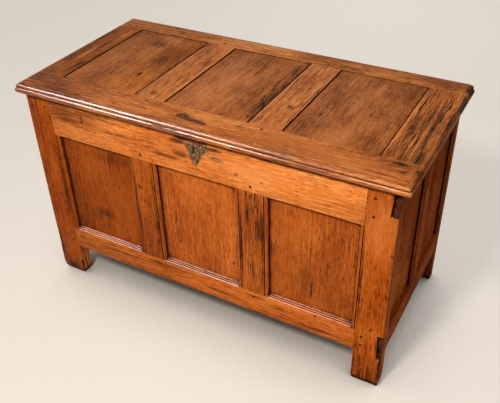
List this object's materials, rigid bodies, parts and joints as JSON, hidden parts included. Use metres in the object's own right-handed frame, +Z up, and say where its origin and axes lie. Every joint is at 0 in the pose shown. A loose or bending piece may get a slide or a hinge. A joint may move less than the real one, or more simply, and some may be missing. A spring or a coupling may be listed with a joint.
{
  "type": "paneled coffer",
  "caption": "Joined oak coffer on straight legs, with moulded frames round plain panels, a framed lid on strap hinges, an iron shield escutcheon and a sliding-bolt box lock.",
  "frame": {"origin": "middle of the footprint on the floor, under the middle of the lid", "axes": "+X to the right along the front, +Y to the back, +Z up; the front faces -Y"},
  "size_m": [1.17, 0.56, 0.69],
  "materials": {
    "oak_frame": "waxed orange-brown, satin",
    "oak_panel": "waxed, a little darker than the frame",
    "oak_end": "waxed dark brown",
    "oak_rear": "dry, unwaxed",
    "oak_inside": "dry, unfinished boards",
    "oak_lid": "waxed red-brown, satin",
    "oak_lid_panel": "waxed red-brown, satin",
    "oak_peg": "riven end grain, waxed",
    "wrought_iron": "wrought, dull dark brown",
    "worn_iron": "wrought, rubbed bright by sliding"
  },
  "bodies": {
    "carcass": {"front_top_rail": "oak_frame", "front_bottom_rail": "oak_frame", "front_left_muntin": "oak_frame", "front_right_muntin": "oak_frame", "front_left_stile": "oak_frame", "front_right_stile": "oak_frame", "front_left_panel": "oak_panel", "front_middle_panel": "oak_panel", "front_right_panel": "oak_panel", "rear_top_rail": "oak_rear", "rear_bottom_rail": "oak_rear", "rear_left_muntin": "oak_rear", "rear_right_muntin": "oak_rear", "rear_left_stile": "oak_rear", "rear_right_stile": "oak_rear", "rear_left_panel": "oak_rear", "rear_middle_panel": "oak_rear", "rear_right_panel": "oak_rear", "left_top_rail": "oak_end", "left_bottom_rail": "oak_end", "left_muntin": "oak_end", "left_front_panel": "oak_end", "left_rear_panel": "oak_end", "right_top_rail": "oak_end", "right_bottom_rail": "oak_end", "right_muntin": "oak_end", "right_front_panel": "oak_end", "right_rear_panel": "oak_end", "floor_board_1": "oak_inside", "floor_board_2": "oak_inside", "floor_board_3": "oak_inside", "floor_board_4": "oak_inside", "front_pegs": "oak_peg", "rear_pegs": "oak_peg", "left_pegs": "oak_peg", "right_pegs": "oak_peg", "escutcheon": "wrought_iron", "escutcheon_pins": "wrought_iron", "lock_case": "wrought_iron", "bolt_guides": "wrought_iron", "lock_spring": "wrought_iron", "key_pin": "wrought_iron", "lock_nails": "wrought_iron", "hinge_straps": "wrought_iron", "hinge_pins": "wrought_iron", "hinge_strap_nails": "wrought_iron"},
    "lid": {"lid_front_rail": "oak_lid", "lid_back_rail": "oak_lid", "lid_left_stile": "oak_lid", "lid_right_stile": "oak_lid", "lid_left_muntin": "oak_lid", "lid_right_muntin": "oak_lid", "lid_left_panel": "oak_lid_panel", "lid_middle_panel": "oak_lid_panel", "lid_right_panel": "oak_lid_panel", "lid_pegs": "oak_peg", "hinge_tongues": "wrought_iron", "lid_nails": "wrought_iron", "lid_staple": "wrought_iron"},
    "lock_bolt": {"lock_bolt": "worn_iron"}
  },
  "joints": [
    {"name": "lid_hinge", "type": "hinge", "parent": "carcass", "child": "lid", "pos_m": [0, 0.2733, 0.6567], "axis": [-1, 0, 0], "range_deg": [0, 105]},
    {"name": "bolt_slide", "type": "slide", "parent": "carcass", "child": "lock_bolt", "axis": [-1, 0, 0], "range_m": [0, 0.016]}
  ]
}
